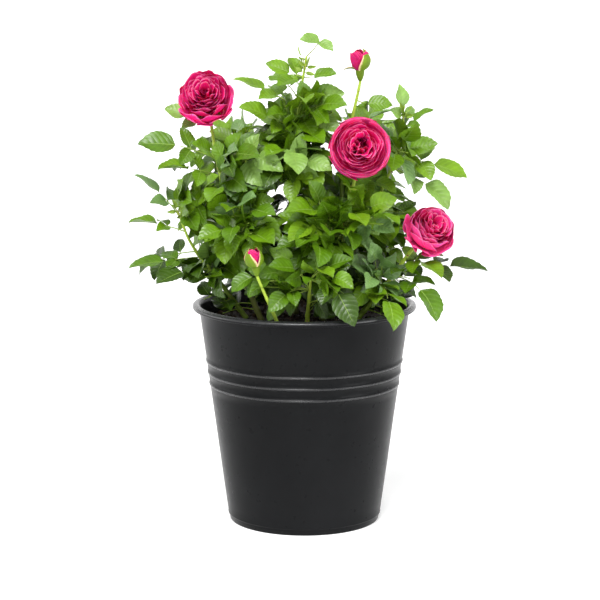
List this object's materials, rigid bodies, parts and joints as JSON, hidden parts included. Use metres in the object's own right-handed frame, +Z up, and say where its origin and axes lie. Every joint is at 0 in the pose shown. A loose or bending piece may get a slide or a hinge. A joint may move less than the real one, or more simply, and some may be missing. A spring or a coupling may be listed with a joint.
{
  "type": "rose bush in a plant pot",
  "caption": "Small shrub rose with open rosette blooms, buds and compound leaves, growing in a round ridged plastic plant pot.",
  "frame": {"origin": "middle of the flat underside of the pot, on the surface it stands on", "axes": "+Z up through the plant, -Y towards the front, where the blooms face, +X to the right seen from the front"},
  "size_m": [0.3469, 0.2391, 0.4782],
  "materials": {
    "pot": "satin",
    "soil": "matte",
    "cane": "satin",
    "leaf": "satin",
    "petal": "satin"
  },
  "bodies": {
    "root": {"bloom_centre": "petal", "bloom_left": "petal", "bloom_right": "petal", "bud_low": "petal", "bud_top": "petal", "cane_back_left": "cane", "cane_back_right": "cane", "cane_centre_bloom": "cane", "cane_front": "cane", "cane_left_bloom": "cane", "cane_left_low": "cane", "cane_low_bud": "cane", "cane_right": "cane", "cane_right_bloom": "cane", "cane_top": "cane", "cane_top_bud": "cane", "leaves_back_left_1": "leaf", "leaves_back_left_2": "leaf", "leaves_back_left_3": "leaf", "leaves_back_right_1": "leaf", "leaves_back_right_2": "leaf", "leaves_back_right_3": "leaf", "leaves_back_right_4": "leaf", "leaves_centre_bloom_1": "leaf", "leaves_centre_bloom_2": "leaf", "leaves_front_1": "leaf", "leaves_front_2": "leaf", "leaves_front_3": "leaf", "leaves_left_bloom_1": "leaf", "leaves_left_bloom_2": "leaf", "leaves_left_bloom_3": "leaf", "leaves_left_bloom_4": "leaf", "leaves_left_bloom_5": "leaf", "leaves_left_low_1": "leaf", "leaves_left_low_2": "leaf", "leaves_left_low_3": "leaf", "leaves_left_low_4": "leaf", "leaves_left_low_5": "leaf", "leaves_left_low_6": "leaf", "leaves_right_1": "leaf", "leaves_right_2": "leaf", "leaves_right_3": "leaf", "leaves_right_4": "leaf", "leaves_right_5": "leaf", "leaves_right_6": "leaf", "leaves_right_bloom_1": "leaf", "leaves_right_bloom_2": "leaf", "leaves_right_bloom_3": "leaf", "leaves_right_bloom_4": "leaf", "leaves_top_1": "leaf", "leaves_top_2": "leaf", "leaves_top_3": "leaf", "leaves_top_4": "leaf", "leaves_top_5": "leaf", "leaves_top_6": "leaf", "leaves_top_7": "leaf", "leaves_top_8": "leaf", "leaves_top_bud_1": "leaf", "pot": "pot", "soil": "soil"}
  },
  "joints": []
}
